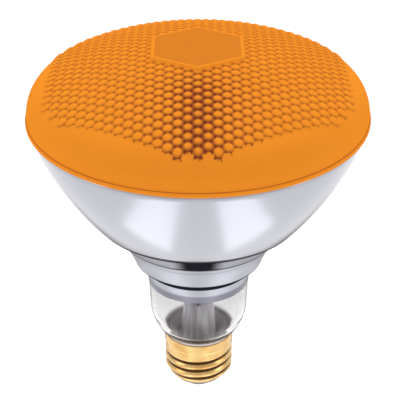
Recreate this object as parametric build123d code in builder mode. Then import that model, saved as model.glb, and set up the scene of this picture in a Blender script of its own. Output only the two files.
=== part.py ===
# Flood bulb: a domed amber face on a silvered glass reflector, with a clear neck and a screw base.
# Millimetres. The origin is the middle of the screw shell's open rim, and +Z runs out of the lamp's
# face. Heights are measured from that rim, so what sits in the base is below zero.
from build123d import *
import os
from math import cos, hypot, radians, sin, sqrt

os.makedirs("parts", exist_ok=True)

# Amber lens
seam_height = 92.3
rim_radius = 60.3
bead_height = 1.6
bead_step = 0.5
bead_round = 0.45
lens_wall = 3.0
dome_radius = 130.0
dome_rise = 25.0
shoulder_radius = 9.0

# Six-sided pad in the middle of the lens
pad_flats = 29.4
pad_stand = 0.4
pad_margin = 1.0
pad_slope = 52.0

# Stipple: low six-sided pillows in a honeycomb, over a six-sided field with rounded corners
stipple_pitch = 3.63
stipple_rise = 0.55
stipple_lift = 0.05
field_flats = 103.0
field_reach = 55.5

# Reflector bowl, waist and neck, all one wall of glass
glass_wall = 1.8
collar_inset = 1.2
collar_height = 1.5
belly_radius = 52.4
belly_height = 75.0
step_radius = 38.3
step_height = 54.0
step_round = 1.2
waist_top_radius = 34.6
waist_top_drop = 2.2
waist_middle_radius = 28.3
waist_middle_height = 43.2
waist_foot_radius = 24.0
waist_foot_height = 34.2
waist_round = 0.9
throat_height = 31.0
throat_radius = 20.6
neck_top_radius = 19.2
neck_top_height = 27.0
neck_low_radius = 18.2
neck_low_height = 9.5
neck_turn_radius = 15.3
neck_turn_height = 3.2
neck_rim_radius = 12.0
neck_end_radius = 11.0
neck_end_start = -2.0
neck_end = -9.0
neck_low_round = 5.0
neck_turn_round = 4.0

# Screw shell: thin brass with a rolled right-hand thread
shell_radius = 13.03
band_step = 0.17
band_depth = 3.8
shell_straight = 16.4
shell_cone_depth = 3.9
shell_foot_radius = 9.8
shell_wall = 0.3
thread_pitch = 3.63
thread_depth = 0.85
thread_root_width = 0.9
thread_waist_width = 2.0
thread_mouth_width = 2.9
thread_start_depth = 5.4
thread_end_depth = 17.2
thread_flank = 0.6
thread_start_angle = -133.0

# Cement that holds the neck in the shell
cement_drop = 0.1
cement_step_depth = 3.3

# Insulator, centre contact and solder
insulator_top_depth = 17.3
insulator_foot_radius = 5.6
insulator_foot_depth = 24.0
insulator_hole_radius = 1.4
contact_radius = 4.9
contact_thickness = 0.5
contact_hole_radius = 0.7
contact_edge = 0.3
solder_radius = 2.5
solder_height = 1.0
side_solder_width = 1.8
side_solder_height = 0.7

# Glass stem in the neck
flare_edge = 1.6
flare_clearance = 1.6
flare_waist_radius = 7.5
flare_waist_height = -5.2
tube_foot_radius = 7.0
tube_foot_height = -1.5
tube_top_radius = 5.6
tube_top_height = 14.0
stem_wall = 1.1
bore_roof = 1.0
pinch_width = 11.6
pinch_thickness = 4.8
pinch_round = 2.0
pinch_foot_height = 19.0
pinch_top_height = 28.0
exhaust_radius = 2.4
exhaust_bore = 1.5
exhaust_tip_height = -12.5
blow_hole_radius = 1.0
arbor_radius = 1.5
button_radius = 2.5
button_thickness = 2.4
button_edge = 0.7

# Wires and filament
lead_spacing = 7.8
outer_lead_radius = 0.3
seal_wire_radius = 0.35
seal_wire_length = 19.0
seal_wire_stand = 0.6
inner_lead_radius = 0.4
lead_low_knee = 0.25
lead_high_knee = 0.65
filament_height = 42.0
filament_length = 15.0
coil_radius = 0.8
leg_radius = 0.2
leg_length = 2.6
clamp_radius = 0.7
clamp_length = 1.4
support_spacing = 6.0
support_height = 4.5
support_wire_radius = 0.22
support_loop_width = 0.5
support_foot_spacing = 2.4
support_low_knee = 0.3
support_high_knee = 0.7
loop_sides = 12

# Clearances
sliding_gap = 0.05
loose_gap = 0.12


def honeycomb_reach(x, y):
    """Distance from the middle to the flats of the hexagon that a point lies on."""
    return max(abs(x * cos(radians(a)) + y * sin(radians(a))) for a in (0, 60, 120))


def dome_height(x, y):
    """Height of the smooth dome above the shell's rim, over a point in plan."""
    return seam_height + dome_rise - dome_radius + sqrt(dome_radius**2 - x**2 - y**2)


def pillow_centres():
    """Middles of the stipple's pillows, in columns that run from the front to the back."""
    column_step = stipple_pitch * sqrt(3) / 2
    corner = stipple_pitch / sqrt(3)
    columns = int(field_reach / column_step) + 1
    rows = int(field_reach / stipple_pitch) + 1
    pad_edge = pad_flats / 2 + pad_margin
    for i in range(-columns, columns + 1):
        for j in range(-rows, rows + 1):
            x = i * column_step
            y = (j + (i % 2) / 2) * stipple_pitch
            inside_field = honeycomb_reach(x, y) < field_flats / 2 and hypot(x, y) < field_reach - corner
            if inside_field and honeycomb_reach(x, y) > pad_edge:
                yield x, y


def stipple_block():
    """One closed block whose top is the stipple and whose walls go down to the seam."""
    corner = stipple_pitch / sqrt(3)
    faces = []
    open_edges = {}
    for x, y in pillow_centres():
        top = Vector(x, y, dome_height(x, y) + stipple_rise)
        ring = []
        for a in range(0, 360, 60):
            cx, cy = x + corner * cos(radians(a)), y + corner * sin(radians(a))
            ring.append(Vector(cx, cy, dome_height(cx, cy) + stipple_lift))
        for a, b in zip(ring, ring[1:] + ring[:1]):
            faces.append(Face(Wire.make_polygon([a, b, top])))
            key_a, key_b = [(round(v.X, 3), round(v.Y, 3)) for v in (a, b)]
            if (key_b, key_a) in open_edges:
                del open_edges[key_b, key_a]
            else:
                open_edges[key_a, key_b] = (a, b)
    # Edges with a pillow on one side only are the block's outline, round the field and the pad
    follow = {key_a: (key_b, a, b) for (key_a, key_b), (a, b) in open_edges.items()}
    outlines = []
    while follow:
        key = next(iter(follow))
        outline = []
        while key in follow:
            key, a, b = follow.pop(key)
            low_a, low_b = Vector(a.X, a.Y, seam_height), Vector(b.X, b.Y, seam_height)
            outline.append(low_a)
            faces.append(Face(Wire.make_polygon([a, low_a, low_b, b])))
        outlines.append(Wire.make_polygon(outline))
    outlines.sort(key=lambda wire: wire.length)
    faces.append(Face(outlines[-1], outlines[:-1]))
    return Solid(Shell(faces))


def cap_section(radius, side_radius, apex, foot, corner_round):
    """Half section of a domed cap, filled to the axis. It is drawn in the XZ plane."""
    with BuildSketch(Plane.XZ) as section:
        with BuildLine():
            crown_drop = radius - sqrt(radius**2 - side_radius**2)
            crown = RadiusArc((0, apex), (side_radius, apex - crown_drop), radius)
            Polyline(crown @ 1, (side_radius, foot), (0, foot), (0, apex))
        make_face()
        fillet(section.vertices().group_by(Axis.X)[-1].sort_by(Axis.Y)[-1], corner_round)
    return section.sketch


# Lens: the dome, its shoulder and rim bead, the stipple, the pad, and the hollow behind them
dome_apex = seam_height + dome_rise
lens_side = rim_radius - bead_step
inner_dome = dome_radius - lens_wall
with BuildPart() as lens:
    add(cap_section(dome_radius, lens_side, dome_apex, seam_height, shoulder_radius))
    revolve(axis=Axis.Z)
    with BuildSketch(Plane.XZ) as bead:
        with BuildLine():
            bead_top = seam_height + bead_height
            lens_bore = lens_side - lens_wall
            Polyline((lens_bore, seam_height), (rim_radius, seam_height), (rim_radius, bead_top))
            Polyline((rim_radius, bead_top), (lens_bore, bead_top), (lens_bore, seam_height))
        make_face()
        fillet(bead.vertices().group_by(Axis.X)[-1], bead_round)
    revolve(axis=Axis.Z)
    add(stipple_block())
    with BuildSketch(Plane.XY.offset(dome_apex + pad_stand)):
        RegularPolygon(pad_flats / 2, 6, major_radius=False, rotation=30)
    extrude(amount=-lens_wall, taper=-pad_slope)
    inner_apex = dome_apex - lens_wall
    add(cap_section(inner_dome, lens_bore, inner_apex, seam_height, shoulder_radius - lens_wall))
    revolve(axis=Axis.Z, mode=Mode.SUBTRACT)
lens.part.label = "lens"
export_step(lens.part, "parts/lens.step")


def corner_at(line, x, y):
    """The vertex of a line that lies nearest to a point of its drawing plane."""
    return line.vertices().sort_by_distance((x, y))[0]


# Reflector: collar, bowl, step, waist and neck, turned solid and then hollowed to one wall of glass
collar_radius = rim_radius - collar_inset
with BuildPart() as reflector:
    with BuildSketch(Plane.XZ):
        with BuildLine() as glass_line:
            collar_foot = (collar_radius, seam_height - collar_height)
            Line((collar_radius, seam_height), collar_foot)
            ThreePointArc(collar_foot, (belly_radius, belly_height), (step_radius, step_height))
            waist_top = (waist_top_radius, step_height - waist_top_drop)
            waist_foot = (waist_foot_radius, waist_foot_height)
            Line((step_radius, step_height), waist_top)
            ThreePointArc(waist_top, (waist_middle_radius, waist_middle_height), waist_foot)
            neck_top = (neck_top_radius, neck_top_height)
            ThreePointArc(waist_foot, (throat_radius, throat_height), neck_top)
            FilletPolyline(
                neck_top,
                (neck_low_radius, neck_low_height),
                (neck_turn_radius, neck_turn_height),
                (neck_rim_radius, 0),
                radius=[neck_low_round, neck_turn_round],
            )
            Polyline((neck_rim_radius, 0), (neck_end_radius, neck_end_start), (neck_end_radius, neck_end))
            fillet(corner_at(glass_line, step_radius, step_height), step_round)
            fillet(corner_at(glass_line, *waist_top), waist_round)
            fillet(corner_at(glass_line, *waist_foot), waist_round)
            Polyline((neck_end_radius, neck_end), (0, neck_end), (0, seam_height))
            Line((0, seam_height), (collar_radius, seam_height))
        make_face()
    revolve(axis=Axis.Z)
    ends = reflector.faces().filter_by(GeomType.PLANE).filter_by(Axis.Z).sort_by(Axis.Z)
    offset(amount=-glass_wall, openings=[ends[0], ends[-1]], kind=Kind.INTERSECTION)
reflector.part.label = "reflector"
export_step(reflector.part, "parts/reflector.step")


def groove_cutter(root_radius, extra_width):
    """A solid that cuts the thread's groove, from its start near the rim down to the cone."""
    groove_drop = thread_end_depth - thread_start_depth
    half_widths = [(w + extra_width) / 2 for w in (thread_root_width, thread_waist_width, thread_mouth_width)]
    root, waist, mouth = half_widths
    beyond = thread_depth + band_step + shell_wall
    with BuildPart() as cutter:
        with BuildLine() as helix:
            Helix(thread_pitch, groove_drop, root_radius)
        with BuildSketch(Plane(origin=helix.line @ 0, x_dir=(1, 0, 0), z_dir=helix.line % 0)):
            with BuildLine():
                flank = thread_depth * thread_flank
                upper = Polyline((0, root), (flank, waist), (thread_depth, mouth), (beyond, mouth))
                Line(upper @ 1, (beyond, 0))
                mirror(about=Plane.XZ)
                Line((0, root), (0, -root))
            make_face()
        sweep(path=helix.line, is_frenet=True)
    turn = thread_start_angle - 360 * groove_drop / thread_pitch
    return Pos(0, 0, -thread_end_depth) * Rot(0, 0, turn) * cutter.part


def turned(points):
    """A solid turned about the lamp's axis from the corners of its half section."""
    with BuildPart() as solid:
        with BuildSketch(Plane.XZ):
            with BuildLine():
                Polyline(*points, close=True)
            make_face()
        revolve(axis=Axis.Z)
    return solid.part


def bent_wire(points, wire_radius, bend_radii=None):
    """A round wire along straight runs, with rounded bends or, where it is kinked, mitred ones."""
    with BuildPart() as wire:
        with BuildLine() as route:
            if bend_radii:
                FilletPolyline(*points, radius=bend_radii)
            else:
                Polyline(*points)
        with BuildSketch(Plane(origin=route.line @ 0, z_dir=route.line % 0)):
            Circle(wire_radius)
        sweep(path=route.line, transition=Transition.RIGHT)
    return wire.part


# Screw shell: the outside less the inside, each with its own groove, so the wall follows the thread
cone_foot = shell_straight + shell_cone_depth
cone_slope = (shell_radius - shell_foot_radius) / shell_cone_depth
cone_wall = shell_wall * sqrt(1 + cone_slope**2)
bore_radius = shell_radius - shell_wall
bore_straight = shell_straight - (cone_wall - shell_wall) / cone_slope
thread_bore = bore_radius - thread_depth
band_radius = shell_radius + band_step
band_bore = band_radius - shell_wall
bore_outline = [
    (0, 0),
    (band_bore, 0),
    (band_bore, -band_depth),
    (bore_radius, -band_depth - band_step),
    (bore_radius, -bore_straight),
    (shell_foot_radius - cone_wall, -cone_foot),
    (0, -cone_foot),
]
shell_outline = [
    (0, 0),
    (band_radius, 0),
    (band_radius, -band_depth),
    (shell_radius, -band_depth - band_step),
    (shell_radius, -shell_straight),
    (shell_foot_radius, -cone_foot),
    (0, -cone_foot),
]
with BuildPart() as shell_bore:
    add(turned(bore_outline))
    add(groove_cutter(thread_bore, 2 * shell_wall), mode=Mode.SUBTRACT)
with BuildPart() as screw_shell:
    add(turned(shell_outline))
    add(groove_cutter(shell_radius - thread_depth, 0), mode=Mode.SUBTRACT)
    add(shell_bore, mode=Mode.SUBTRACT)
screw_shell.part.label = "screw_shell"
export_step(screw_shell.part, "parts/screw_shell.step")

# Basing cement: a stepped ring between neck and shell, with a channel for the side lead
rim_lead_radius = (neck_rim_radius + band_bore) / 2
cement_outside = band_bore - sliding_gap
cement_inside = neck_end_radius + loose_gap
cement_outline = [
    (neck_rim_radius + loose_gap, -cement_drop),
    (cement_outside, -cement_drop),
    (cement_outside, -cement_step_depth),
    (thread_bore - sliding_gap, -cement_step_depth),
    (thread_bore - sliding_gap, neck_end),
    (cement_inside, neck_end),
    (cement_inside, neck_end_start),
]
channel_depth = 2 * (rim_lead_radius - neck_end_radius) + 2 * shell_wall
with BuildPart() as basing_cement:
    add(turned(cement_outline))
    with BuildSketch(Plane.XY):
        with Locations((0, rim_lead_radius)):
            Rectangle(2 * (outer_lead_radius + loose_gap), channel_depth)
    extrude(amount=neck_end, mode=Mode.SUBTRACT)
basing_cement.part.label = "basing_cement"
export_step(basing_cement.part, "parts/basing_cement.step")

# Base insulator: it fills the shell's cone and carries on down to the centre contact
cone_bore = shell_radius - cone_wall - sliding_gap
insulator_outline = [
    (insulator_hole_radius, -insulator_top_depth),
    (cone_bore - cone_slope * (insulator_top_depth - shell_straight), -insulator_top_depth),
    (shell_foot_radius - cone_wall - sliding_gap, -cone_foot),
    (shell_foot_radius, -cone_foot),
    (insulator_foot_radius, -insulator_foot_depth),
    (insulator_hole_radius, -insulator_foot_depth),
]
with BuildPart() as base_insulator:
    add(turned(insulator_outline))
base_insulator.part.label = "base_insulator"
export_step(base_insulator.part, "parts/base_insulator.step")

# Centre contact: a round plate under the insulator, with a hole for the lead
contact_foot = insulator_foot_depth + contact_thickness
with BuildPart() as centre_contact:
    with BuildSketch(Plane.XY.offset(-contact_foot)):
        Circle(contact_radius)
        Circle(contact_hole_radius, mode=Mode.SUBTRACT)
    extrude(amount=contact_thickness)
    chamfer(centre_contact.edges().group_by(Axis.Z)[0].sort_by(SortBy.RADIUS)[-1], contact_edge)
centre_contact.part.label = "centre_contact"
export_step(centre_contact.part, "parts/centre_contact.step")

# Solder on the centre contact, drawn with a few straight chords of its dome
solder_angles = [radians(a) for a in (0, 30, 60, 90)]
with BuildPart() as centre_solder:
    dome_points = [(solder_radius * cos(a), -contact_foot - solder_height * sin(a)) for a in solder_angles]
    add(turned(dome_points[:-1] + [(0, -contact_foot - solder_height), (0, -contact_foot)]))
centre_solder.part.label = "centre_solder"
export_step(centre_solder.part, "parts/centre_solder.step")

# Solder on the shell's rim, over the end of the side lead and clear of the neck
with BuildPart() as side_solder:
    neck_lean = (neck_turn_radius - neck_rim_radius) / neck_turn_height
    solder_inside = neck_rim_radius + loose_gap
    with BuildSketch(Plane.YZ.offset(-side_solder_width / 2)):
        with BuildLine():
            Polyline(
                (solder_inside, 0),
                (band_radius, 0),
                (band_radius, side_solder_height / 2),
                (solder_inside + neck_lean * side_solder_height, side_solder_height),
                close=True,
            )
        make_face()
    extrude(amount=side_solder_width)
side_solder.part.label = "side_solder"
export_step(side_solder.part, "parts/side_solder.step")

# Stem: flare and tube turned in one, closed at the top by the flat pinch that seals the wires
flare_mouth = neck_end - flare_edge
flare_root_radius = neck_end_radius - glass_wall - loose_gap
bore_top = tube_top_height - bore_roof
tube_bore_radius = tube_top_radius - stem_wall
lead_offset = lead_spacing / 2
with BuildPart() as stem:
    with BuildSketch(Plane.XZ):
        with BuildLine():
            tube_foot = (tube_foot_radius, tube_foot_height)
            flare_root = (flare_root_radius, neck_end)
            Polyline((0, flare_mouth), (0, tube_top_height), (tube_top_radius, tube_top_height), tube_foot)
            ThreePointArc(tube_foot, (flare_waist_radius, flare_waist_height), flare_root)
            Polyline(flare_root, (neck_end_radius, neck_end), (neck_end_radius, flare_mouth))
            Line((neck_end_radius, flare_mouth), (0, flare_mouth))
        make_face()
    revolve(axis=Axis.Z)
    with BuildSketch(Plane.XY.offset(tube_top_height)):
        Circle(tube_top_radius)
    with BuildSketch(Plane.XY.offset(pinch_foot_height)):
        RectangleRounded(pinch_width, pinch_thickness, pinch_round)
    loft()
    with BuildSketch(Plane.XY.offset(pinch_foot_height)):
        RectangleRounded(pinch_width, pinch_thickness, pinch_round)
    extrude(amount=pinch_top_height - pinch_foot_height)
    with BuildSketch(Plane.XZ):
        with BuildLine():
            bore_foot = (tube_foot_radius - stem_wall, tube_foot_height)
            mouth_edge = (flare_root_radius - stem_wall / 2, flare_mouth)
            Polyline((0, flare_mouth), (0, bore_top), (tube_bore_radius, bore_top), bore_foot)
            ThreePointArc(bore_foot, (flare_waist_radius - stem_wall, flare_waist_height), mouth_edge)
            Line(mouth_edge, (0, flare_mouth))
        make_face()
    revolve(axis=Axis.Z, mode=Mode.SUBTRACT)
    with Locations((lead_offset, 0, pinch_top_height), (-lead_offset, 0, pinch_top_height)):
        Hole(seal_wire_radius + sliding_gap, depth=pinch_top_height - bore_top + bore_roof)
    blow_hole_height = tube_top_height + blow_hole_radius
    with BuildSketch(Plane.XZ):
        with Locations((0, blow_hole_height)):
            Circle(blow_hole_radius)
    extrude(amount=pinch_width, both=True, mode=Mode.SUBTRACT)
    with BuildSketch(Plane.XY.offset(bore_top)):
        Circle(blow_hole_radius)
    extrude(amount=blow_hole_height - bore_top, mode=Mode.SUBTRACT)
stem.part.label = "stem"
export_step(stem.part, "parts/stem.step")

# Exhaust tube: it hangs from the roof of the stem's bore, and its lower end is melted shut
with BuildPart() as exhaust_tube:
    with BuildSketch(Plane.XZ):
        with BuildLine():
            tip_turn = exhaust_tip_height + exhaust_radius
            Polyline(
                (0, exhaust_tip_height), (0, bore_top), (exhaust_radius, bore_top), (exhaust_radius, tip_turn)
            )
            RadiusArc((exhaust_radius, tip_turn), (0, exhaust_tip_height), exhaust_radius)
        make_face()
    revolve(axis=Axis.Z)
    with Locations((0, 0, bore_top)):
        Hole(exhaust_bore, depth=bore_top - tip_turn)
exhaust_tube.part.label = "exhaust_tube"
export_step(exhaust_tube.part, "parts/exhaust_tube.step")

# Arbor: a glass rod on the pinch, pressed out to a button that holds the support wires
arbor_top = filament_height - support_height
with BuildPart() as arbor:
    with BuildSketch(Plane.XY.offset(pinch_top_height)):
        Circle(arbor_radius)
    extrude(amount=arbor_top - pinch_top_height)
    with BuildSketch(Plane.XY.offset(arbor_top - button_thickness)):
        Circle(button_radius)
    extrude(amount=button_thickness)
    chamfer(arbor.edges().filter_by(GeomType.CIRCLE).sort_by(SortBy.RADIUS)[-2:], button_edge)
arbor.part.label = "arbor"
export_step(arbor.part, "parts/arbor.step")

# Filament: the coil's outside, with the straight legs that the leads are clamped on
with BuildPart() as filament:
    with BuildSketch(Plane.YZ.offset(-filament_length / 2)):
        with Locations((0, filament_height)):
            Circle(coil_radius)
    extrude(amount=filament_length)
    with BuildSketch(Plane.YZ.offset(-filament_length / 2 - leg_length)):
        with Locations((0, filament_height)):
            Circle(leg_radius)
    extrude(amount=filament_length + 2 * leg_length)
filament.part.label = "filament"
export_step(filament.part, "parts/filament.step")

# Seal wires through the pinch, and nickel leads from them to the filament's legs
seal_top = pinch_top_height + seal_wire_stand
seal_foot = seal_top - seal_wire_length
clamp_offset = filament_length / 2 + leg_length / 2 + clamp_length / 4
for side, name in ((-1, "left"), (1, "right")):
    with BuildPart() as seal_wire:
        with BuildSketch(Plane.XY.offset(seal_foot)):
            with Locations((side * lead_offset, 0)):
                Circle(seal_wire_radius)
        extrude(amount=seal_wire_length)
    seal_wire.part.label = f"seal_wire_{name}"
    export_step(seal_wire.part, f"parts/seal_wire_{name}.step")

    lead_rise = filament_height - seal_top
    lead_route = [
        (side * lead_offset, 0, seal_top),
        (side * lead_offset, 0, seal_top + lead_rise * lead_low_knee),
        (side * clamp_offset, 0, seal_top + lead_rise * lead_high_knee),
        (side * clamp_offset, 0, filament_height - leg_radius - sliding_gap),
    ]
    with BuildPart() as inner_lead:
        add(bent_wire(lead_route, inner_lead_radius))
        with BuildSketch(Plane.YZ.offset(side * clamp_offset - clamp_length / 2)) as clamp:
            with Locations((0, filament_height)):
                Circle(clamp_radius)
        extrude(amount=clamp_length)
        with BuildSketch(Plane.YZ.offset(side * clamp_offset)):
            with Locations((0, filament_height)):
                Circle(leg_radius + sliding_gap)
        extrude(amount=clamp_length, both=True, mode=Mode.SUBTRACT)
    inner_lead.part.label = f"inner_lead_{name}"
    export_step(inner_lead.part, f"parts/inner_lead_{name}.step")

    loop_radius = coil_radius + loose_gap + 2 * support_wire_radius
    loop_foot = filament_height - loop_radius + support_wire_radius
    support_rise = loop_foot - arbor_top
    support_route = [
        (side * support_foot_spacing / 2, 0, arbor_top),
        (side * support_foot_spacing / 2, 0, arbor_top + support_rise * support_low_knee),
        (side * support_spacing / 2, 0, arbor_top + support_rise * support_high_knee),
        (side * support_spacing / 2, 0, loop_foot),
    ]
    with BuildPart() as support_wire:
        add(bent_wire(support_route, support_wire_radius))
        with BuildSketch(Plane.YZ.offset(side * support_spacing / 2 - support_loop_width / 2)):
            with Locations((0, filament_height)):
                RegularPolygon(loop_radius, loop_sides)
                RegularPolygon(coil_radius + loose_gap, loop_sides, major_radius=False, mode=Mode.SUBTRACT)
        extrude(amount=support_loop_width)
    support_wire.part.label = f"support_wire_{name}"
    export_step(support_wire.part, f"parts/support_wire_{name}.step")

# Copper lead to the centre contact: down past the tube's closed tip and in to the axis
centre_lead_turn = exhaust_tip_height + exhaust_radius / 4
centre_lead_route = [
    (-lead_offset, 0, seal_foot),
    (-lead_offset, 0, centre_lead_turn),
    (0, 0, centre_lead_turn - lead_offset),
    (0, 0, -contact_foot),
]
with BuildPart() as centre_lead:
    add(bent_wire(centre_lead_route, outer_lead_radius, [lead_offset / 3, lead_offset / 3]))
centre_lead.part.label = "centre_lead"
export_step(centre_lead.part, "parts/centre_lead.step")

# Copper lead to the shell: under the flare's edge, up through the cement's channel to the rim
under_flare = flare_mouth - flare_clearance
channel_radius = (neck_end_radius + thread_bore) / 2
side_lead_route = [
    (lead_offset, 0, seal_foot),
    (lead_offset, 0, under_flare),
    (0, channel_radius, under_flare),
    (0, channel_radius, neck_end / 2),
    (0, rim_lead_radius, -thread_depth),
    (0, rim_lead_radius, 0),
]
loose_bend, tight_bend = 4 * outer_lead_radius, 2 * outer_lead_radius
with BuildPart() as side_lead:
    add(bent_wire(side_lead_route, outer_lead_radius, [loose_bend, loose_bend, tight_bend, tight_bend]))
side_lead.part.label = "side_lead"
export_step(side_lead.part, "parts/side_lead.step")
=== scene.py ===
"""Flood bulb: the looks of the lamp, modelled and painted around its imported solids."""
from math import atan2, ceil, cos, degrees, exp, hypot, pi, radians, sin, sqrt

import bmesh
import bpy
from bpy.props import FloatProperty, FloatVectorProperty, IntProperty, PointerProperty
from mathutils import Matrix, Vector


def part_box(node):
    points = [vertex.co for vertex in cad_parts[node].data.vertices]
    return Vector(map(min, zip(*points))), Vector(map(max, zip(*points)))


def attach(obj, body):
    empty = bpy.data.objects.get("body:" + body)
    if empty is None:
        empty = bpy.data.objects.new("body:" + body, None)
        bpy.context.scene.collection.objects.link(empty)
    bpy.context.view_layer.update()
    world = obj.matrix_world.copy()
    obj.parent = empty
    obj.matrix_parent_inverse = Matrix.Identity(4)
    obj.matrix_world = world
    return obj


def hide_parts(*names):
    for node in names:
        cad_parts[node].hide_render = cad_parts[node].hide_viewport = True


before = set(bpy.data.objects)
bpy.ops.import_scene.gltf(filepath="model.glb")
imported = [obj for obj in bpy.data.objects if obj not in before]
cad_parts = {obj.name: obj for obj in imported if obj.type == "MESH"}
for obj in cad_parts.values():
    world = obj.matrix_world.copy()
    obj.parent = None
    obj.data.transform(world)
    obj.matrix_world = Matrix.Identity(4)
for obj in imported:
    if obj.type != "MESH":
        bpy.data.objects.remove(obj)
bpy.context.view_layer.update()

bl_info = {
    "name": "Flood bulb",
    "version": (1, 0, 0),
    "blender": (4, 5, 0),
    "location": "3D View > Sidebar > Flood bulb",
    "description": "Builds the looks of a reflector flood bulb around its packed solids",
    "category": "Object",
}

MM = 0.001
LENS_LOW, LENS_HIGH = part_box("lens")
SHELL_LOW, SHELL_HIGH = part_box("screw_shell")


# Properties that a user would change

def length(name, description, default):
    """A length property, in metres in Blender's own units and given here in millimetres."""
    return FloatProperty(name=name, description=description, default=default * MM, unit="LENGTH", precision=5)


def colour(name, description, default):
    """A colour property in linear light."""
    return FloatVectorProperty(
        name=name, description=description, default=default, subtype="COLOR", size=3, min=0, max=1
    )


class LensSettings(bpy.types.PropertyGroup):
    """Sizes of the amber lens."""

    dome_radius: length("Dome radius", "Radius of the sphere that the dome is part of", 129)
    shoulder_radius: length("Shoulder radius", "Rounding between the dome and the lens's side", 12)
    bead_height: length("Bead height", "Height of the rim bead at the seam", 1.6)
    bead_step: length("Bead step", "How far the rim bead stands out from the side", 0.5)
    bead_round: length("Bead rounding", "Rounding of the rim bead's edges", 0.45)
    wall: length("Wall", "Thickness of the lens's wall", 3)
    pad_flats: length("Pad flats", "Width of the six-sided pad's top over its flats", 29.4)
    pad_bevel: length("Pad bevel", "Width of the pad's sloped edge", 1.35)
    pitch: length("Stipple pitch", "Distance between the middles of two pillows", 3.63)
    rise: length("Stipple rise", "Height of a pillow over its lowest corners", 0.72)
    field_flats: length("Field flats", "Width of the six-sided stipple field over its flats", 103)
    field_reach: length("Field reach", "Radius of the circle that rounds the field's corners", 57.4)
    lattice_cuts: IntProperty(name="Lattice cuts", description="Cuts on each edge of a cell", default=3)


class ReflectorSettings(bpy.types.PropertyGroup):
    """Sizes of the glass bowl and neck."""

    wall: length("Wall", "Thickness of the glass", 1.8)
    collar: length("Collar radius", "Radius where the bowl meets the lens", 59.1)
    segments: IntProperty(name="Segments", description="Faces round the bowl", default=192)
    silver_end: length("Silver end", "Height over the shell's rim where the silvering stops", 24.2)


class ShellSettings(bpy.types.PropertyGroup):
    """Sizes of the brass screw shell."""

    radius: length("Radius", "Radius over the thread's crests", 13.03)
    band_radius: length("Band radius", "Radius of the plain band at the rim", 13.2)
    band: length("Band", "Depth of the plain band", 3.8)
    straight: length("Straight", "Depth of the straight part", 16.4)
    foot_radius: length("Foot radius", "Radius of the cone's lower edge", 9.8)
    wall: length("Wall", "Thickness of the brass", 0.3)
    pitch: length("Pitch", "Thread pitch", 3.63)
    depth: length("Depth", "Thread depth", 0.85)
    groove: length("Groove", "Width of the groove's mouth", 3.0)
    start: length("Start", "Depth at which the groove starts", 5.4)
    segments: IntProperty(name="Segments", description="Faces round the shell", default=160)
    rows: IntProperty(name="Rows", description="Rows of faces down the shell", default=96)


class FinishSettings(bpy.types.PropertyGroup):
    """Colours of the finishes."""

    amber: colour("Amber", "Colour of the lens", (0.785, 0.253, 0.0205))
    amber_warm: colour("Warm amber", "Second colour of the lens, in soft clouds", (0.72, 0.216, 0.0175))
    # Colour of painted shade on the lens: in its pits, its bead's crease and in front, where the dark bowl
    # shows through; the pad's top is painted darker with it too
    amber_shade: colour("Deep amber", "Colour of the lens where its glass is thick", (0.16, 0.026, 0.014))
    silver: colour("Silver", "Colour of the silvering", (0.41, 0.415, 0.457))
    brass: colour("Brass", "Colour of the screw shell", (0.77, 0.52, 0.22))
    cement: colour("Cement", "Colour of the basing cement", (0.088, 0.036, 0.03))
    backdrop: colour("Backdrop", "Colour of the floor and the backdrop", (0.9, 0.9, 0.9))


SETTINGS = {
    "bulb_lens": LensSettings,
    "bulb_reflector": ReflectorSettings,
    "bulb_shell": ShellSettings,
    "bulb_finish": FinishSettings,
}


# Shader maths

class Signal:
    """A shader socket that can be used in Python expressions."""

    def __init__(self, nodes, socket):
        self.nodes = nodes
        self.socket = socket

    def maths(self, operation, *others):
        """Adds one Math node that works on this signal and the others."""
        return self.nodes.add("ShaderNodeMath", {"operation": operation}, [self, *others])

    def __add__(self, other):
        return self.maths("ADD", other)

    def __sub__(self, other):
        return self.maths("SUBTRACT", other)

    def __mul__(self, other):
        return self.maths("MULTIPLY", other)

    def __truediv__(self, other):
        return self.maths("DIVIDE", other)

    def __rsub__(self, other):
        return self.nodes.add("ShaderNodeMath", {"operation": "SUBTRACT"}, [other, self])

    __radd__ = __add__
    __rmul__ = __mul__

    def clamped(self):
        """This signal held between 0 and 1."""
        return self.nodes.add("ShaderNodeClamp", {}, {"Value": self})


class Nodes:
    """A node tree that is built from Python."""

    def __init__(self, tree):
        self.tree = tree

    def feed(self, node, socket, value):
        """Sets a node's socket to a value, or links a signal to it."""
        target = node.inputs[socket]
        if isinstance(value, Signal):
            self.tree.links.new(value.socket, target)
        elif hasattr(value, "__len__") and target.type == "RGBA":
            target.default_value = (*value[:3], 1)
        else:
            target.default_value = value

    def add(self, kind, settings, sockets, output=0):
        """Adds a node with its settings and its sockets' values or links, and gives an output's signal."""
        node = self.tree.nodes.new(kind)
        for name, value in settings.items():
            setattr(node, name, value)
        pairs = sockets.items() if isinstance(sockets, dict) else enumerate(sockets)
        for socket, value in pairs:
            self.feed(node, socket, value)
        return Signal(self, node.outputs[output])

    def blend(self, mask, first, second):
        """A colour between two others."""
        node = self.tree.nodes.new("ShaderNodeMix")
        node.data_type = "RGBA"
        for socket, value in ((0, mask), (6, first), (7, second)):
            self.feed(node, socket, value)
        return Signal(self, node.outputs[2])

    def rising(self, signal, low, high):
        """A number that rises smoothly from 0 to 1 as a signal goes from low to high."""
        sockets = {"Value": signal, "From Min": low, "From Max": high}
        return self.add("ShaderNodeMapRange", {"interpolation_type": "SMOOTHSTEP"}, sockets)


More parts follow.
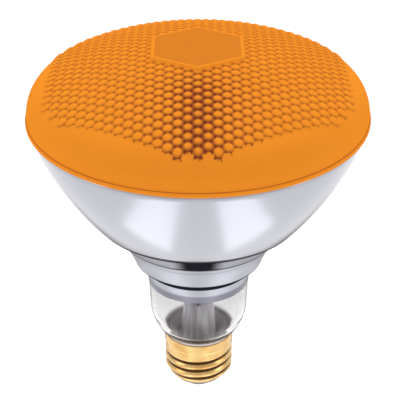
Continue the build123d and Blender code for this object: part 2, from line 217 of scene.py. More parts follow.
class Finish(Nodes):
    """One material, made of nodes, that ends in a Principled shader."""

    def __init__(self, name, **constants):
        self.material = bpy.data.materials.new(name)
        self.material.use_nodes = True
        super().__init__(self.material.node_tree)
        self.shader = self.tree.nodes["Principled BSDF"]
        for socket, value in constants.items():
            self.feed(self.shader, socket.replace("_", " ").title().replace("Ior", "IOR"), value)

    def place(self):
        """The point on the object, in its own coordinates."""
        return self.add("ShaderNodeTexCoord", {}, {}, "Object")

    def height(self):
        """The height of the point over the shell's rim, in metres."""
        return self.add("ShaderNodeSeparateXYZ", {}, [self.place()], "Z")

    def attribute(self, name):
        """A number that the mesh carries at each vertex."""
        return self.add("ShaderNodeAttribute", {"attribute_name": name}, {}, "Fac")

    def noise(self, scale, detail=3, roughness=0.5, stretch=(1, 1, 1)):
        """Noise on the object's coordinates, from 0 to 1, with a scale in waves per metre."""
        stretched = self.add("ShaderNodeMapping", {}, {"Vector": self.place(), "Scale": stretch})
        sockets = {"Vector": stretched, "Scale": scale, "Detail": detail, "Roughness": roughness}
        return self.add("ShaderNodeTexNoise", {}, sockets, "Fac")

    def paint(self, socket, signal):
        """Feeds a signal to the Principled shader."""
        self.feed(self.shader, socket, signal)

    def bump(self, signal, distance, strength):
        """Raises the surface by a signal, over a distance in metres."""
        sockets = {"Height": signal, "Distance": distance, "Strength": strength}
        self.paint("Normal", self.add("ShaderNodeBump", {}, sockets))

    def uncover(self, other, covered):
        """Lets another shader's node show wherever the covered signal is under 1."""
        mixed = self.tree.nodes.new("ShaderNodeMixShader")
        self.feed(mixed, 0, covered)
        self.tree.links.new(other.outputs[0], mixed.inputs[1])
        self.tree.links.new(self.shader.outputs[0], mixed.inputs[2])
        self.tree.links.new(mixed.outputs[0], self.tree.nodes["Material Output"].inputs["Surface"])


# Finishes

def amber_glass(finish):
    """Pressed amber glass, with painted shade in the pits of its stipple and where the dark bowl shows through
    its front.
    """
    made = Finish("amber glass", roughness=0.35, ior=1.4, specular_ior_level=0.0)
    cloud = made.noise(60, detail=2)
    body = made.blend(cloud * 0.5, finish.amber, finish.amber_warm)
    # The depth attribute carries painted shade, from LensShape.darkness
    depth = made.rising(made.attribute("depth"), 0.25, 0.95)
    made.paint("Base Color", made.blend(depth, body, finish.amber_shade))
    made.paint("Roughness", 0.24 + made.noise(900, detail=2) * 0.1)
    made.bump(made.noise(500, detail=2), 0.03 * MM, 0.5)
    return made.material


# Painted shade in the creases of the two steps, in metres over the rim: low, high, soft edge, and how dark the
# silvering is painted
CREASES = (
    (54.4 * MM, 56.0 * MM, 0.4 * MM, 0.85),
    (45.2 * MM, 46.2 * MM, 0.3 * MM, 0.6),
    (42.8 * MM, 43.2 * MM, 0.3 * MM, 0.25),
    (31.2 * MM, 34.8 * MM, 0.4 * MM, 1.0),
)
# Where the glass changes, in metres over the rim: the height where each change starts and where it is full
STEP_FOOT = (45.2 * MM, 46.4 * MM)
STEP_TOP = (55.4 * MM, 54.4 * MM)
WAIST = (54.5 * MM, 51.0 * MM)
HEEL = (2.6 * MM, 1.2 * MM)
MIST = (9.0 * MM, 24.0 * MM)


def step_shadow(made, height):
    """How dark the upper step is painted: painted shade a little all round, and fully in the middle of the
    front a painted reflection of the lamp's dark base.
    """
    all_round = 0.28
    patch_edge, patch_core = 0.32, 0.12
    sideways = made.add("ShaderNodeSeparateXYZ", {}, [made.place()], "X")
    ahead = 0 - Signal(made, sideways.socket.node.outputs["Y"])
    aside = sideways.maths("ABSOLUTE") / ahead.maths("MAXIMUM", 1 * MM)
    middle = made.rising(aside, patch_edge, patch_core) * made.rising(ahead, 2 * MM, 6 * MM)
    step = made.rising(height, *STEP_FOOT) * made.rising(height, *STEP_TOP)
    return step * (all_round + middle * (1 - all_round))


def silvered_glass(finish, reflector):
    """Glass that is silvered inside down to the neck, and clear below, with painted shade on its steps and
    waist and a painted highlight at its heel.
    """
    made = Finish(
        "silvered glass", metallic=1.0, roughness=0.05, base_color=finish.silver, specular_ior_level=0.0
    )
    # The waist's and the creases' silvers are painted shade, and the heel's pale colour is a painted highlight
    waist_shade_silver, dark_silver, thin_silver = (0.22, 0.225, 0.26), (0.012, 0.012, 0.016), (0.17, 0.17, 0.21)
    heel_highlight = (0.62, 0.55, 0.54)
    silver_end = reflector.silver_end
    height = made.height()
    shadowed = 0
    for low, high, edge, strength in CREASES:
        line = made.rising(height, low - edge, low) * made.rising(height, high + edge, high)
        shadowed = shadowed + line * strength
    shadowed = (shadowed + step_shadow(made, height)).clamped()
    thin = made.rising(height, silver_end + 3.6 * MM, silver_end + 2.4 * MM) * 0.85
    waist = made.rising(height, *WAIST)
    heel = made.rising(height, *HEEL)
    # Painted shade: the waist is greyer, and the creases and the step darker
    tone = made.blend(waist * 0.3, finish.silver, waist_shade_silver)
    tone = made.blend(shadowed, tone, dark_silver)
    tone = made.blend(thin, tone, thin_silver)
    # Painted highlight: the heel is pale, where the glass's curved foot catches light
    made.paint("Base Color", made.blend(heel, tone, heel_highlight))
    made.paint("Metallic", (1 - shadowed * shadowed) * (1 - heel))
    made.paint("Roughness", 0.17 + made.noise(45, detail=2) * 0.06 + waist * 0.16)
    made.bump(made.noise(70, detail=1), 0.02 * MM, 0.25)
    clear = made.tree.nodes.new("ShaderNodeBsdfGlass")
    for socket, value in (("Roughness", 0.0), ("IOR", 1.22), ("Color", (0.92, 0.916, 0.914))):
        made.feed(clear, socket, value)
    ragged = (made.noise(260, detail=2) - 0.5) * (0.5 * MM)
    silvered = ((height - silver_end + ragged) / (0.35 * MM)).clamped()
    misty = made.rising(height, *MIST) * 0.14
    made.uncover(clear, (silvered + heel + misty).clamped())
    return made.material


def stem_glass():
    """Clear lead glass with drawn streaks."""
    middling, dim, bright = (0.7, 0.68, 0.7), (0.5, 0.47, 0.49), (0.95, 0.93, 0.95)
    made = Finish("stem glass", roughness=0.05, ior=1.5, transmission_weight=0.35, base_color=middling)
    streaks = made.noise(420, detail=2, stretch=(1, 1, 0.08))
    made.paint("Base Color", made.blend(made.rising(streaks, 0.35, 0.65), dim, bright))
    made.bump(streaks, 0.12 * MM, 0.6)
    return made.material


def rolled_brass(finish):
    """Bright rolled brass, with painted shade in the thread's groove and at the shell's foot."""
    made = Finish("rolled brass", metallic=1.0, roughness=0.24, base_color=finish.brass)
    aged, groove_shade = (0.66, 0.38, 0.12), (0.07, 0.03, 0.01)
    tarnish = made.noise(160, detail=4)
    groove = made.attribute("groove").clamped()
    open_brass = made.blend(made.rising(tarnish, 0.35, 0.65), finish.brass, aged)
    # Painted shade in the groove and at the foot, from the groove attribute
    made.paint("Base Color", made.blend(made.rising(groove, 0.15, 0.8), open_brass, groove_shade))
    made.paint("Roughness", 0.15 + tarnish * 0.14 + groove * 0.15)
    made.bump(made.noise(1400, detail=2, stretch=(1, 1, 0.3)), 0.02 * MM, 0.5)
    return made.material


def baked_cement(finish):
    """Brown baked cement, grainy and matt."""
    made = Finish("baked cement", roughness=0.85, base_color=finish.cement)
    pale_grain = (0.16, 0.078, 0.065)
    grain = made.noise(1100, detail=4)
    made.paint("Base Color", made.blend(grain, finish.cement, pale_grain))
    made.bump(grain, 0.12 * MM, 0.8)
    return made.material


def drawn_wire(name, base, worn, roughness):
    """Drawn wire whose colour wanders a little along its length."""
    made = Finish(name, metallic=1.0, roughness=roughness, base_color=base)
    made.paint("Base Color", made.blend(made.noise(700, detail=3), base, worn))
    made.paint("Roughness", roughness + made.noise(900, detail=2) * 0.15)
    return made.material


def black_glass():
    """Black moulded glass of the insulator."""
    made = Finish("black glass", roughness=0.18, ior=1.5, base_color=(0.008, 0.008, 0.01))
    made.paint("Roughness", 0.12 + made.noise(300, detail=3) * 0.2)
    made.bump(made.noise(500, detail=3), 0.05 * MM, 0.5)
    return made.material


def soft_solder():
    """Dull solder with a wrinkled skin."""
    made = Finish("soft solder", metallic=1.0, roughness=0.4, base_color=(0.55, 0.55, 0.56))
    bright, dull = (0.62, 0.62, 0.63), (0.38, 0.38, 0.4)
    wrinkle = made.noise(900, detail=4)
    made.paint("Base Color", made.blend(wrinkle, bright, dull))
    made.paint("Roughness", 0.3 + wrinkle * 0.3)
    made.bump(wrinkle, 0.08 * MM, 0.8)
    return made.material


# Mesh helpers

def finished_piece(name, mesh_bm, material, node):
    """Turns a bmesh into a smooth piece of the lamp that stands for one of its solids."""
    mesh = bpy.data.meshes.new(name)
    mesh_bm.to_mesh(mesh)
    mesh_bm.free()
    piece = bpy.data.objects.new(name, mesh)
    bpy.context.scene.collection.objects.link(piece)
    mesh.polygons.foreach_set("use_smooth", [True] * len(mesh.polygons))
    mesh.materials.append(material)
    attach(piece, "root")
    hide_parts(node)
    return piece


def boundary_edges(mesh_bm):
    """The edges that have a face on one side only."""
    return [edge for edge in mesh_bm.edges if edge.is_boundary]


def extrude_loop(mesh_bm, edges, place):
    """Extrudes a loop of edges by one row of faces, and puts each new vertex where place says."""
    grown = bmesh.ops.extrude_edge_only(mesh_bm, edges=edges)["geom"]
    for vertex in (item for item in grown if isinstance(item, bmesh.types.BMVert)):
        vertex.co = place(vertex.co)
    return [item for item in grown if isinstance(item, bmesh.types.BMEdge)]


def on_ring(radius, height):
    """A placing that keeps a point's angle and gives it a radius and a height."""
    def place(point):
        reach = hypot(point.x, point.y)
        return Vector((point.x / reach * radius, point.y / reach * radius, height))
    return place


def arc_points(centre, radius, start, end, steps):
    """Points of an arc in the plane of radius and height, with angles in degrees and both ends in."""
    angles = [radians(start + (end - start) * i / steps) for i in range(steps + 1)]
    return [(centre[0] + radius * cos(a), centre[1] + radius * sin(a)) for a in angles]


def arc_through(first, middle, last, steps):
    """Points of the arc through three points of the plane of radius and height."""
    (ax, ay), (bx, by), (cx, cy) = first, middle, last
    twice = 2 * (ax * (by - cy) + bx * (cy - ay) + cx * (ay - by))
    a2, b2, c2 = ax * ax + ay * ay, bx * bx + by * by, cx * cx + cy * cy
    ux = (a2 * (by - cy) + b2 * (cy - ay) + c2 * (ay - by)) / twice
    uy = (a2 * (cx - bx) + b2 * (ax - cx) + c2 * (bx - ax)) / twice
    start = degrees(atan2(ay - uy, ax - ux))
    end = degrees(atan2(cy - uy, cx - ux))
    turn = (end - start + 180) % 360 - 180
    return arc_points((ux, uy), hypot(ax - ux, ay - uy), start, start + turn, steps)


def spun(points, segments, bends=()):
    """A surface turned about the lamp's axis from an open outline, with some of its corners rounded."""
    mesh_bm = bmesh.new()
    row = [mesh_bm.verts.new((radius, 0, height)) for radius, height in points]
    for first, second in zip(row, row[1:]):
        mesh_bm.edges.new((first, second))
    for index, rounding in bends:
        bmesh.ops.bevel(
            mesh_bm, geom=[row[index]], offset=rounding, offset_type="OFFSET", segments=6, profile=0.5,
            affect="VERTICES", material=-1,
        )
    bmesh.ops.spin(
        mesh_bm, geom=mesh_bm.verts[:] + mesh_bm.edges[:], cent=(0, 0, 0), axis=(0, 0, 1),
        angle=2 * pi, steps=segments, use_merge=True,
    )
    bmesh.ops.remove_doubles(mesh_bm, verts=mesh_bm.verts[:], dist=0.001 * MM)
    bmesh.ops.recalc_face_normals(mesh_bm, faces=mesh_bm.faces[:])
    return mesh_bm


# Lens

LATTICE_REACH = 57.7 * MM
PAD_OVER_DOME = 0.4 * MM
BEAD_FILLET = 0.45 * MM
# How far the painted shade of the pits is moved to the front, off the corners that three pillows share
PIT_SHIFT = 0.4 * MM
# Rings of the pad, from its foot inwards: how far out on its bevel each lies, and how far up
PAD_RINGS = ((0.8, 0.75), (0.15, 0.94), (0.0, 1.0), (-0.25, 1.0))
# How dark the pad's top is painted, and the painted shade in the bead's crease
PAD_DARKNESS = 0.5
CREASE_DARKNESS = 0.75


def hexagon_reach(x, y):
    """Distance from the middle to the flats of the hexagon that a point lies on."""
    return max(abs(x * cos(radians(a)) + y * sin(radians(a))) for a in (0, 60, 120))


class LensShape:
    """The lens's surface as heights over the plan."""

    def __init__(self, lens):
        self.lens = lens
        self.apex = LENS_HIGH.z - PAD_OVER_DOME
        self.side = LENS_HIGH.x - lens.bead_step
        self.pad_top = LENS_HIGH.z
        self.foot = lens.pad_flats / 2 + lens.pad_bevel
        self.column_step = lens.pitch * sqrt(3) / 2
        self.corner = lens.pitch / sqrt(3)

        self.dome_middle = self.apex - lens.dome_radius
        self.round_x = self.side - lens.shoulder_radius
        rolling_radius = lens.dome_radius - lens.shoulder_radius
        self.round_z = self.dome_middle + sqrt(rolling_radius**2 - self.round_x**2)
        self.shoulder_start = self.round_x * lens.dome_radius / rolling_radius

    def surface(self, radius):
        """Height of the smooth dome, and of the shoulder that it turns into."""
        if radius < self.shoulder_start:
            return self.dome_middle + sqrt(self.lens.dome_radius**2 - radius**2)
        return self.round_z + sqrt(self.lens.shoulder_radius**2 - (radius - self.round_x) ** 2)

    def cell(self, x, y):
        """The middle of the pillow that a point lies on."""
        nearest = None
        column = round(x / self.column_step)
        for i in (column - 1, column, column + 1):
            shift = (i % 2) / 2
            j = round(y / self.lens.pitch - shift)
            centre = (i * self.column_step, (j + shift) * self.lens.pitch)
            gap = hypot(x - centre[0], y - centre[1])
            if nearest is None or gap < nearest[0]:
                nearest = (gap, centre)
        return nearest

    def in_field(self, x, y):
        """Whether a pillow with its middle there belongs to the stipple."""
        inside = hexagon_reach(x, y) < self.lens.field_flats / 2
        return inside and hypot(x, y) < self.lens.field_reach - self.corner

    def pillow(self, x, y):
        """Height over the dome, and how deep in a pit the point lies, from 0 to 1."""
        gap, centre = self.cell(x, y)
        if not self.in_field(*centre):
            return 0, 0
        fall = (gap / self.corner) ** 2
        shifted = self.cell(x, y - PIT_SHIFT)[0] / self.corner
        return self.lens.rise * (1 - fall), shifted**2

    def in_front(self, x, y, start, fade, half_width):
        """How far a point is inside a soft patch in front of the lamp's axis, from 0 to 1."""
        return max(0, min(1, (-y - start) / fade)) * exp(-((x / half_width) ** 2))

    def darkness(self, x, y, fall):
        """How dark a point is painted: painted shade by its depth in a pit, and in front where the dark bowl
        shows through the glass.
        """
        pits = 0.77 + 0.28 * self.in_front(x, y, 8 * MM, 20 * MM, 19 * MM)
        column = 0.32 * self.in_front(x, y, 16 * MM, 14 * MM, 7 * MM)
        return fall * pits + (1 - fall) * column

    def outline(self):
        """The section from the edge of the lattice round the shoulder, the bead and the inside."""
        lens = self.lens
        inner_sphere = lens.dome_radius - lens.wall
        middle = (self.round_x, self.round_z)
        start = degrees(atan2(self.surface(LATTICE_REACH) - self.round_z, LATTICE_REACH - self.round_x))
        tangent = degrees(atan2(self.round_z - self.dome_middle, self.round_x))
        shoulder = arc_points(middle, lens.shoulder_radius, start, 0, 8)
        hollow = arc_points(middle, lens.shoulder_radius - lens.wall, 0, tangent, 6)
        foot = LENS_LOW.z
        rim = LENS_HIGH.x
        bead_top = foot + lens.bead_height
        turn = lens.bead_round
        outside = shoulder + [(self.side, bead_top + BEAD_FILLET), (self.side, bead_top)]
        outside += arc_points((rim - turn, bead_top - turn), turn, 90, 0, 4)
        outside += arc_points((rim - turn, foot + turn), turn, 0, -90, 4)
        inside = [(self.side - lens.wall, foot)] + hollow
        for share in (0.75, 0.5, 0.25):
            radius = hollow[-1][0] * share
            inside.append((radius, self.dome_middle + sqrt(inner_sphere**2 - radius**2)))
        return outside + inside


def lens_lattice(shape):
    """The flat triangular lattice of the honeycomb, cut to the pad's foot and near the shoulder."""
    lens = shape.lens
    mesh_bm = bmesh.new()
    bmesh.ops.create_circle(mesh_bm, cap_ends=True, cap_tris=True, segments=6, radius=shape.corner)
    turned = Matrix.Rotation(radians(30), 3, "Z")
    bmesh.ops.rotate(mesh_bm, verts=mesh_bm.verts[:], cent=(0, 0, 0), matrix=turned)
    bmesh.ops.subdivide_edges(mesh_bm, edges=mesh_bm.edges[:], cuts=lens.lattice_cuts, use_grid_fill=True)
    cell = mesh_bm.verts[:] + mesh_bm.edges[:] + mesh_bm.faces[:]
    columns = ceil(LATTICE_REACH / shape.column_step) + 1
    rows = ceil(LATTICE_REACH / lens.pitch) + 1
    for i in range(-columns, columns + 1):
        for j in range(-rows, rows + 1):
            x, y = i * shape.column_step, (j + (i % 2) / 2) * lens.pitch
            over_pad = hexagon_reach(x, y) <= shape.foot - shape.corner
            if hypot(x, y) < LATTICE_REACH + shape.corner and not over_pad:
                copy = bmesh.ops.duplicate(mesh_bm, geom=cell)["geom"]
                new = [item for item in copy if isinstance(item, bmesh.types.BMVert)]
                bmesh.ops.translate(mesh_bm, verts=new, vec=(x, y, 0))
    bmesh.ops.remove_doubles(mesh_bm, verts=mesh_bm.verts[:], dist=0.02 * MM)
    spare = []
    for face in mesh_bm.faces:
        x, y, _ = face.calc_center_median()
        if hypot(x, y) > LATTICE_REACH or hexagon_reach(x, y) < shape.foot:
            spare.append(face)
    bmesh.ops.delete(mesh_bm, geom=spare, context="FACES")
    return mesh_bm


def on_pad(shape, share, rise):
    """A placing that puts a point on a ring of the pad, by the ring's share of the bevel and of the rise."""
    reach = shape.lens.pad_flats / 2 + shape.lens.pad_bevel * share
    on_slope = rise < 0.8
    least_drop, edge_drop = 0.2 * MM, 0.35 * MM
    def place(point):
        scale = reach / hexagon_reach(point.x, point.y)
        low = min(point.z, shape.pad_top - least_drop) if on_slope else shape.pad_top - edge_drop
        return Vector((point.x * scale, point.y * scale, low + (shape.pad_top - low) * rise))
    return place


def square_up(shape, rim_loop, pad_loop):
    """Moves the lattice's outer edge onto a circle and its inner edge onto the pad's hexagon."""
    for vertex in {v for edge in rim_loop for v in edge.verts}:
        vertex.co.xy = vertex.co.xy.normalized() * LATTICE_REACH
    pad_foot = {v for edge in pad_loop for v in edge.verts}
    for vertex in pad_foot:
        vertex.co.xy = vertex.co.xy * (shape.foot / hexagon_reach(*vertex.co.xy))
    for a in range(30, 390, 60):
        corner = Vector((cos(radians(a)), sin(radians(a)))) * (shape.foot / cos(radians(30)))
        min(pad_foot, key=lambda v: (v.co.xy - corner).length).co.xy = corner


def build_lens(lens):
    """The lens as one closed mesh, with its stipple as real pillows."""
    shape = LensShape(lens)
    mesh_bm = lens_lattice(shape)
    edges = boundary_edges(mesh_bm)
    rim_loop = [edge for edge in edges if hypot(*edge.verts[0].co.xy) > LATTICE_REACH / 2]
    pad_loop = [edge for edge in edges if hypot(*edge.verts[0].co.xy) <= LATTICE_REACH / 2]
    square_up(shape, rim_loop, pad_loop)
    depth = mesh_bm.verts.layers.float.new("depth")
    for vertex in mesh_bm.verts:
        x, y, _ = vertex.co
        rise, fall = shape.pillow(x, y)
        vertex.co.z = shape.surface(hypot(x, y)) + rise
        # Painted shade in the pits and in front, carried by the depth attribute
        vertex[depth] = shape.darkness(x, y, fall)
    lattice = set(mesh_bm.verts)
    loop = pad_loop
    for share, rise in PAD_RINGS:
        loop = extrude_loop(mesh_bm, loop, on_pad(shape, share, rise))
    bmesh.ops.edgeloop_fill(mesh_bm, edges=loop)
    loop = rim_loop
    for radius, height in shape.outline()[1:]:
        loop = extrude_loop(mesh_bm, loop, on_ring(radius, height))
    bmesh.ops.edgeloop_fill(mesh_bm, edges=loop)
    # The pad's top is painted darker, and the bead's crease gets painted shade
    for vertex in (vertex for vertex in mesh_bm.verts if vertex not in lattice):
        x, y, z = vertex.co
        on_top = z > shape.apex and hexagon_reach(x, y) < lens.pad_flats / 2 + 0.1 * MM
        in_crease = abs(z - LENS_LOW.z - lens.bead_height) < 0.01 * MM
        vertex[depth] = PAD_DARKNESS if on_top else CREASE_DARKNESS if in_crease else 0
    bmesh.ops.recalc_face_normals(mesh_bm, faces=mesh_bm.faces[:])
    return mesh_bm


# Reflector

def reflector_outline(reflector):
    """The outside of the glass from the seam to the end of the neck, in metres, and its rounded corners."""
    seam = LENS_LOW.z / MM
    collar_foot = (reflector.collar / MM, seam - 1.5)
    ledge_foot, waist_top, waist_foot, neck_top = (34.0, 51.4), (31.9, 48.2), (24.0, 34.2), (19.2, 27.0)
    points = [(reflector.collar / MM, seam)]
    points += arc_through(collar_foot, (52.4, 75.0), (38.3, 54.0), 28)
    step_index = len(points) - 1
    ledge_index = len(points)
    points += [ledge_foot]
    points += arc_through(waist_top, (28.0, 43.0), waist_foot, 14)
    foot_index = len(points) - 1
    points += [(21.6, 32.9)]
    points += arc_through((20.7, 31.2), (19.8, 28.9), neck_top, 6)
    neck_low = len(points)
    points += [(18.2, 9.5), (15.6, 3.4), (13.0, 0.9), (12.75, -0.5), (11.0, -2.0), (11.0, -9.0)]
    bends = [(neck_low, 2.5), (neck_low + 1, 1.6), (neck_low + 2, 0.4)]
    bends += [(foot_index + 1, 0.7), (foot_index, 0.6), (ledge_index, 1.7), (step_index, 0.7)]
    scaled = [(radius * MM, height * MM) for radius, height in points]
    return scaled, [(index, rounding * MM) for index, rounding in bends]


# Screw shell

# The groove's first angle in degrees, the turns that it fades in and out over, its fullness and its plain foot
GROOVE_ANGLE = -133
FADE_IN = 0.22
FADE_OUT = 0.15
GROOVE_FULLNESS = 0.8
PLAIN_FOOT = 3.2 * MM


def thread_depth(shell, angle, height):
    """How deep the groove is at a place on the shell, from 0 to 1."""
    turns_down = (-shell.start - height) / shell.pitch
    turns_round = ((GROOVE_ANGLE - angle) / 360) % 1
    along = turns_down - turns_round
    nearest = max(0, round(along))
    off = abs(along - nearest) * shell.pitch / (shell.groove / 2)
    if off >= 1:
        return 0
    travelled = nearest + turns_round
    fade_in = min(1, travelled / FADE_IN)
    last_turn = (SHELL_LOW.z + shell.start + PLAIN_FOOT) / -shell.pitch
    fade_out = min(1, max(0, (last_turn - travelled) / FADE_OUT))
    return fade_in * fade_out * (0.5 + 0.5 * cos(pi * off)) ** GROOVE_FULLNESS


def build_shell(shell):
    """The brass shell's outside, with a rolled thread. Its foot gets painted shade, like the groove."""
    foot = SHELL_LOW.z
    cone_rows = 16
    foot_round = 1.2 * MM
    # Painted shade at the foot: its height, its fade and its strength
    dark_foot, dark_foot_fade, foot_darkness = 3 * MM, 1.5 * MM, 0.55
    points = []
    for row in range(shell.rows + 1):
        height = -row / shell.rows * shell.straight
        share = min(1, max(0, (-height - shell.band) / (shell.band_radius - shell.radius)))
        points.append((shell.band_radius + (shell.radius - shell.band_radius) * share, height))
    for row in range(1, cone_rows + 1):
        share = row / cone_rows
        radius = shell.radius + (shell.foot_radius - shell.radius) * share
        points.append((radius, -shell.straight + (foot + shell.straight) * share))
    mesh_bm = spun(points, shell.segments, [(shell.rows, foot_round)])
    groove = mesh_bm.verts.layers.float.new("groove")
    for vertex in mesh_bm.verts:
        x, y, z = vertex.co
        depth = thread_depth(shell, degrees(atan2(y, x)), z)
        vertex.co.xy *= 1 - depth * shell.depth / hypot(x, y)
        at_foot = max(0, min(1, (foot + dark_foot - z) / dark_foot_fade))
        # The groove attribute carries painted shade, in the groove and at the foot
        vertex[groove] = max(depth**2, foot_darkness * at_foot)
    return mesh_bm


def add_solidify(piece, wall):
    """Gives a surface its wall, inwards."""
    solid = piece.modifiers.new("Wall", "SOLIDIFY")
    solid.thickness = wall
    solid.offset = -1
    solid.use_even_offset = True


# Operators

class BULB_OT_lens(bpy.types.Operator):
    """Builds the amber lens"""

    bl_idname = "bulb.lens"
    bl_label = "Lens"

    def execute(self, context):
        """Models the lens and paints it."""
        scene = context.scene
        material = amber_glass(scene.bulb_finish)
        finished_piece("stippled_lens", build_lens(scene.bulb_lens), material, "lens")
        return {"FINISHED"}


class BULB_OT_reflector(bpy.types.Operator):
    """Builds the silvered bowl and the clear neck"""

    bl_idname = "bulb.reflector"
    bl_label = "Reflector"

    def execute(self, context):
        """Spins the glass and paints it."""
        scene = context.scene
        reflector = scene.bulb_reflector
        points, bends = reflector_outline(reflector)
        mesh_bm = spun(points, reflector.segments, bends)
        material = silvered_glass(scene.bulb_finish, reflector)
        piece = finished_piece("silvered_bowl", mesh_bm, material, "reflector")
        add_solidify(piece, reflector.wall)
        return {"FINISHED"}


class BULB_OT_base(bpy.types.Operator):
    """Builds the brass screw shell"""

    bl_idname = "bulb.base"
    bl_label = "Screw shell"

    def execute(self, context):
        """Spins the shell, rolls its thread and paints it."""
        scene = context.scene
        shell = scene.bulb_shell
        material = rolled_brass(scene.bulb_finish)
        piece = finished_piece("rolled_shell", build_shell(shell), material, "screw_shell")
        add_solidify(piece, shell.wall)
        return {"FINISHED"}


class BULB_OT_inner_parts(bpy.types.Operator):
    """Paints the stem, the wires, the cement and the contact"""

    bl_idname = "bulb.inner_parts"
    bl_label = "Inner parts"

    def execute(self, context):
        """Gives each carried-over solid its finish."""
        finish = context.scene.bulb_finish
        glass = stem_glass()
        tungsten = drawn_wire("tungsten wire", (0.2, 0.2, 0.21), (0.12, 0.12, 0.13), 0.4)
        nickel = drawn_wire("nickel wire", (0.55, 0.53, 0.5), (0.4, 0.38, 0.35), 0.28)
        copper = drawn_wire("copper wire", (0.62, 0.3, 0.17), (0.4, 0.17, 0.09), 0.3)
        coats = {
            glass: ["stem", "exhaust_tube", "arbor"],
            tungsten: ["filament", "support_wire_left", "support_wire_right"],
            nickel: ["inner_lead_left", "inner_lead_right"],
            copper: ["seal_wire_left", "seal_wire_right", "centre_lead", "side_lead"],
            baked_cement(finish): ["basing_cement"],
            black_glass(): ["base_insulator"],
            drawn_wire("pressed brass", (0.7, 0.46, 0.2), (0.5, 0.3, 0.12), 0.3): ["centre_contact"],
            soft_solder(): ["centre_solder", "side_solder"],
        }
        for material, names in coats.items():
            for name in names:
                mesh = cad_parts[name].data
                mesh.materials.clear()
                mesh.materials.append(material)
        return {"FINISHED"}


class BULB_OT_stage(bpy.types.Operator):
    """Sets the floor, the lights and the camera"""

    bl_idname = "bulb.stage"
    bl_label = "Stage"

    def execute(self, context):
        """Lays the floor, hangs the lights and places the camera."""
        scene = context.scene
        lay_floor(scene.bulb_finish)
        hang_lights(scene)
        place_camera(scene)
        return {"FINISHED"}


# Stage, in metres

FLOOR_DROP = 0.7
FLOOR_HALF = 6
LOW_LIGHTS = -0.23
LAMP_MIDDLE = 0.05
CARD_CORNERS = ((-0.16, 0.12), (0.16, 0.12), (0.45, 0.34), (-0.45, 0.34))


def lay_floor(finish):
    """A plain pale floor, far below the lamp."""
    mesh_bm = bmesh.new()
    bmesh.ops.create_grid(mesh_bm, x_segments=1, y_segments=1, size=FLOOR_HALF)
    mesh = bpy.data.meshes.new("floor")
    mesh_bm.to_mesh(mesh)
    mesh_bm.free()
    floor = bpy.data.objects.new("floor", mesh)
    mesh.transform(Matrix.Translation((0, 0, -FLOOR_DROP)))
    bpy.context.scene.collection.objects.link(floor)
    made = Finish("pale floor", roughness=0.8, base_color=finish.backdrop, emission_color=(1, 1, 1))
    made.feed(made.shader, "Emission Strength", 0.3)
    mesh.materials.append(made.material)


def hang_card(name, corners, tone, full_to, clear_from):
    """A dark card that only the gloss of the lamp shows, clearer towards its sides."""
    mesh_bm = bmesh.new()
    mesh_bm.faces.new([mesh_bm.verts.new(corner) for corner in corners])
    mesh = bpy.data.meshes.new(name)
    mesh_bm.to_mesh(mesh)
    mesh_bm.free()
    card = bpy.data.objects.new(name, mesh)
    bpy.context.scene.collection.objects.link(card)
    for ray in ("camera", "diffuse", "shadow", "transmission", "volume_scatter"):
        setattr(card, "visible_" + ray, False)
    made = Finish(name, roughness=1.0, base_color=(tone, tone, tone), specular_ior_level=0.0)
    sideways = made.add("ShaderNodeSeparateXYZ", {}, [made.place()], "X")
    behind = Signal(made, sideways.socket.node.outputs["Y"])
    across = sideways.maths("ABSOLUTE") / behind
    made.uncover(made.tree.nodes.new("ShaderNodeBsdfTransparent"), made.rising(across, clear_from, full_to))
    mesh.materials.append(made.material)


def area_light(name, size, radiance):
    """A rectangular light that the camera doesn't see. A radiance of 1 is white."""
    data = bpy.data.lights.new(name, "AREA")
    data.shape = "RECTANGLE"
    data.size, data.size_y = size
    data.energy = radiance * pi * size[0] * size[1]
    light = bpy.data.objects.new(name, data)
    light.visible_camera = False
    bpy.context.scene.collection.objects.link(light)
    return light


def soft_box(name, azimuth, elevation, distance, size, radiance):
    """A soft box that looks at the middle of the lamp. Azimuth 0 is the camera's side."""
    light = area_light(name, size, radiance)
    a, e = radians(azimuth), radians(elevation)
    towards = Vector((sin(a) * cos(e), -cos(a) * cos(e), sin(e)))
    light.location = Vector((0, 0, LAMP_MIDDLE)) + towards * distance
    light.rotation_mode = "QUATERNION"
    light.rotation_quaternion = towards.to_track_quat("Z", "Y")


def low_light(name, x_low, x_high, y_low, y_high, radiance):
    """A soft light under the lamp that looks straight up."""
    light = area_light(name, (x_high - x_low, y_high - y_low), radiance)
    light.location = ((x_low + x_high) / 2, (y_low + y_high) / 2, LOW_LIGHTS)
    light.rotation_euler = (pi, 0, 0)


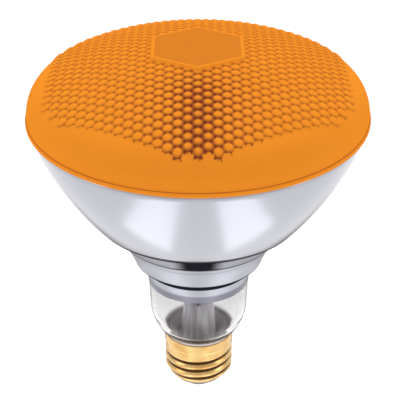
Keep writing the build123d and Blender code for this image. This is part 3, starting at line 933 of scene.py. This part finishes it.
def hang_lights(scene):
    """A white world, soft boxes around the lamp, and low lights and a black card that the bowl mirrors."""
    world = bpy.data.worlds.new("studio")
    scene.world = world
    world.use_nodes = True
    studio = Nodes(world.node_tree)
    background = world.node_tree.nodes["Background"]
    direction = studio.add("ShaderNodeTexCoord", {}, {}, "Generated")
    above_and_behind = (0, 0.45, 0.893)
    upward = studio.add(
        "ShaderNodeVectorMath", {"operation": "DOT_PRODUCT"}, [direction, above_and_behind], "Value"
    )
    sky = studio.blend(studio.rising(upward, -0.4, 1.0), (0.97, 0.97, 0.97), (1.08, 1.08, 1.08))
    studio.feed(background, "Color", sky)
    background.inputs["Strength"].default_value = 0.8
    soft_box("left box", azimuth=-70, elevation=25, distance=1.0, size=(0.4, 0.9), radiance=1.6)
    soft_box("right box", azimuth=70, elevation=25, distance=1.0, size=(0.4, 0.9), radiance=1.5)
    soft_box("back box", azimuth=180, elevation=55, distance=1.2, size=(1.4, 0.7), radiance=2.2)
    # Four low lights lie on each other at each side, each smaller than the last, so their sum has soft edges
    inner, outer, front, back = 0.055, 0.165, -0.26, 0.03
    for side in (-1, 1):
        for inset in range(4):
            ends = sorted((side * (inner + inset * 0.008), side * (outer - inset * 0.012)))
            low_light("low light", *ends, front, back - inset * 0.028, radiance=0.8)
    corners = [(x, y, LOW_LIGHTS) for x, y in CARD_CORNERS]
    hang_card("black card", corners, tone=0.01, full_to=0.25, clear_from=0.85)


# Camera, from the ellipses of the rim, the steps and the base in the photograph
CAMERA_ELEVATION = 30.75
CAMERA_ROLL = -0.2
CAMERA_DISTANCE = 444.45 * MM
FOCAL_PIXELS = 1202.9
IMAGE_WIDTH = 400
CENTRE_COLUMN = 198.3
CENTRE_ROW = 216.9
SENSOR = 36


def place_camera(scene):
    """The camera at the photograph's viewing angle."""
    data = bpy.data.cameras.new("camera")
    data.sensor_width = SENSOR
    data.lens = FOCAL_PIXELS / IMAGE_WIDTH * SENSOR
    data.shift_x = (IMAGE_WIDTH / 2 - CENTRE_COLUMN) / IMAGE_WIDTH
    data.shift_y = (CENTRE_ROW - IMAGE_WIDTH / 2) / IMAGE_WIDTH
    data.clip_start, data.clip_end = 0.01, 50
    camera = bpy.data.objects.new("camera", data)
    e = radians(CAMERA_ELEVATION)
    towards = Vector((0, -cos(e), sin(e)))
    camera.location = Vector((0, 0, LAMP_MIDDLE)) + towards * CAMERA_DISTANCE
    turned = towards.to_track_quat("Z", "Y").to_matrix() @ Matrix.Rotation(radians(CAMERA_ROLL), 3, "Z")
    camera.rotation_mode = "QUATERNION"
    camera.rotation_quaternion = turned.to_quaternion()
    scene.collection.objects.link(camera)
    scene.camera = camera
    scene.view_settings.view_transform = "Standard"


class BULB_PT_panel(bpy.types.Panel):
    """Lists the lamp's operators"""

    bl_idname = "BULB_PT_panel"
    bl_label = "Flood bulb"
    bl_space_type = "VIEW_3D"
    bl_region_type = "UI"
    bl_category = "Flood bulb"

    def draw(self, context):
        """Draws a button for each operator and a field for each size."""
        for operator in OPERATORS:
            self.layout.operator(operator.bl_idname)
        for name, group in SETTINGS.items():
            box = self.layout.box()
            for field in group.__annotations__:
                box.prop(getattr(context.scene, name), field)


OPERATORS = (BULB_OT_lens, BULB_OT_reflector, BULB_OT_base, BULB_OT_inner_parts, BULB_OT_stage)


def register():
    """Registers the classes and hangs the settings on the scene."""
    for cls in (*SETTINGS.values(), *OPERATORS, BULB_PT_panel):
        bpy.utils.register_class(cls)
    for name, group in SETTINGS.items():
        setattr(bpy.types.Scene, name, PointerProperty(type=group))


def unregister():
    """Takes the settings and the classes away again."""
    for name in SETTINGS:
        delattr(bpy.types.Scene, name)
    for cls in (BULB_PT_panel, *reversed(OPERATORS), *reversed(SETTINGS.values())):
        bpy.utils.unregister_class(cls)


def main():
    """Builds the whole lamp and its stage."""
    register()
    for operator in OPERATORS:
        getattr(bpy.ops.bulb, operator.bl_idname.removeprefix("bulb."))()
    bpy.context.view_layer.update()


if __name__ == "__main__":
    main()
